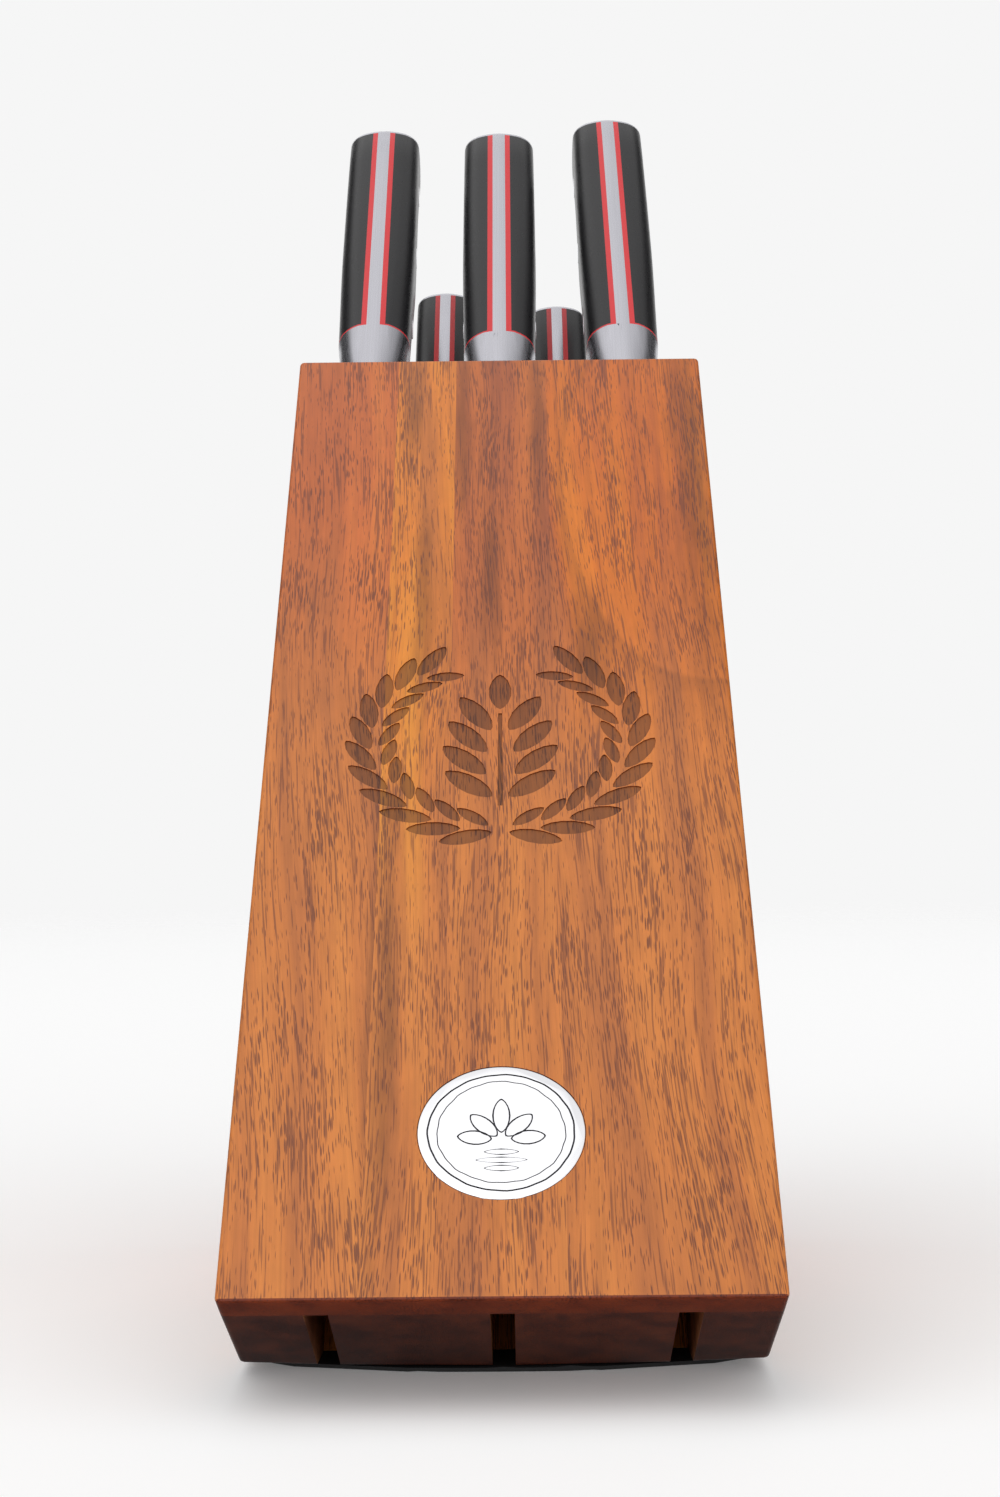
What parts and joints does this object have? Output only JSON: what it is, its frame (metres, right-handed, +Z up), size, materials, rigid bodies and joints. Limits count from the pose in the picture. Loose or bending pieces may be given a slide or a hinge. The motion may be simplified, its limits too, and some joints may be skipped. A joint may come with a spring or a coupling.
{
  "type": "knife block with knives",
  "caption": "Slanted laminated wooden knife block on a wedge foot, with full-tang kitchen knives that pull out of two rows of slots.",
  "frame": {"origin": "on the ground, under the middle of the whole set's box", "axes": "+X across the block to the right, +Y from the toe towards the butts of the handles, +Z up; the front face looks towards -Y"},
  "size_m": [0.1, 0.344, 0.3096],
  "materials": {
    "acacia_red": "satin oiled, reddish brown",
    "acacia_gold": "satin oiled, golden",
    "acacia_brown": "satin oiled, brown with dark streaks",
    "acacia_orange": "satin oiled, orange",
    "acacia_core": "satin oiled, brown",
    "acacia_dark": "satin oiled, dark brown",
    "knife_steel": "satin",
    "rivet_steel": "polished",
    "badge_chrome": "polished",
    "liner_red": "satin",
    "scale_black": "satin",
    "pad_rubber": "matte"
  },
  "bodies": {
    "block": {"front_strip_1": "acacia_red", "front_strip_2": "acacia_gold", "front_strip_3": "acacia_brown", "front_strip_4": "acacia_orange", "front_row_stave_1": "acacia_core", "front_row_stave_2": "acacia_core", "front_row_stave_3": "acacia_core", "front_row_stave_4": "acacia_core", "divider_board": "acacia_dark", "rear_row_stave_1": "acacia_core", "rear_row_stave_2": "acacia_core", "rear_row_stave_3": "acacia_core", "back_board": "acacia_orange", "rear_foot": "acacia_orange", "badge": "badge_chrome", "foot_pad": "pad_rubber"},
    "slicer_knife": {"slicer_blade": "knife_steel", "slicer_butt_cap": "knife_steel", "slicer_liner_left": "liner_red", "slicer_liner_right": "liner_red", "slicer_scale_left": "scale_black", "slicer_scale_right": "scale_black", "slicer_rivet_1": "rivet_steel", "slicer_rivet_2": "rivet_steel", "slicer_rivet_3": "rivet_steel"},
    "santoku_knife": {"santoku_blade": "knife_steel", "santoku_butt_cap": "knife_steel", "santoku_liner_left": "liner_red", "santoku_liner_right": "liner_red", "santoku_scale_left": "scale_black", "santoku_scale_right": "scale_black", "santoku_rivet_1": "rivet_steel", "santoku_rivet_2": "rivet_steel", "santoku_rivet_3": "rivet_steel"},
    "chef_knife": {"chef_blade": "knife_steel", "chef_butt_cap": "knife_steel", "chef_liner_left": "liner_red", "chef_liner_right": "liner_red", "chef_scale_left": "scale_black", "chef_scale_right": "scale_black", "chef_rivet_1": "rivet_steel", "chef_rivet_2": "rivet_steel", "chef_rivet_3": "rivet_steel"},
    "utility_knife": {"utility_blade": "knife_steel", "utility_butt_cap": "knife_steel", "utility_liner_left": "liner_red", "utility_liner_right": "liner_red", "utility_scale_left": "scale_black", "utility_scale_right": "scale_black", "utility_rivet_1": "rivet_steel", "utility_rivet_2": "rivet_steel"},
    "paring_knife": {"paring_blade": "knife_steel", "paring_butt_cap": "knife_steel", "paring_liner_left": "liner_red", "paring_liner_right": "liner_red", "paring_scale_left": "scale_black", "paring_scale_right": "scale_black", "paring_rivet_1": "rivet_steel", "paring_rivet_2": "rivet_steel"}
  },
  "joints": [
    {"name": "slicer_pull", "type": "slide", "parent": "block", "child": "slicer_knife", "axis": [0, 0.7071, 0.7071], "range_m": [0, 0.245]},
    {"name": "santoku_pull", "type": "slide", "parent": "block", "child": "santoku_knife", "axis": [0, 0.7071, 0.7071], "range_m": [0, 0.19]},
    {"name": "chef_pull", "type": "slide", "parent": "block", "child": "chef_knife", "axis": [-0.0087, 0.7071, 0.7071], "range_m": [0, 0.215]},
    {"name": "utility_pull", "type": "slide", "parent": "block", "child": "utility_knife", "axis": [0, 0.7071, 0.7071], "range_m": [0, 0.15]},
    {"name": "paring_pull", "type": "slide", "parent": "block", "child": "paring_knife", "axis": [0, 0.7071, 0.7071], "range_m": [0, 0.1]}
  ]
}
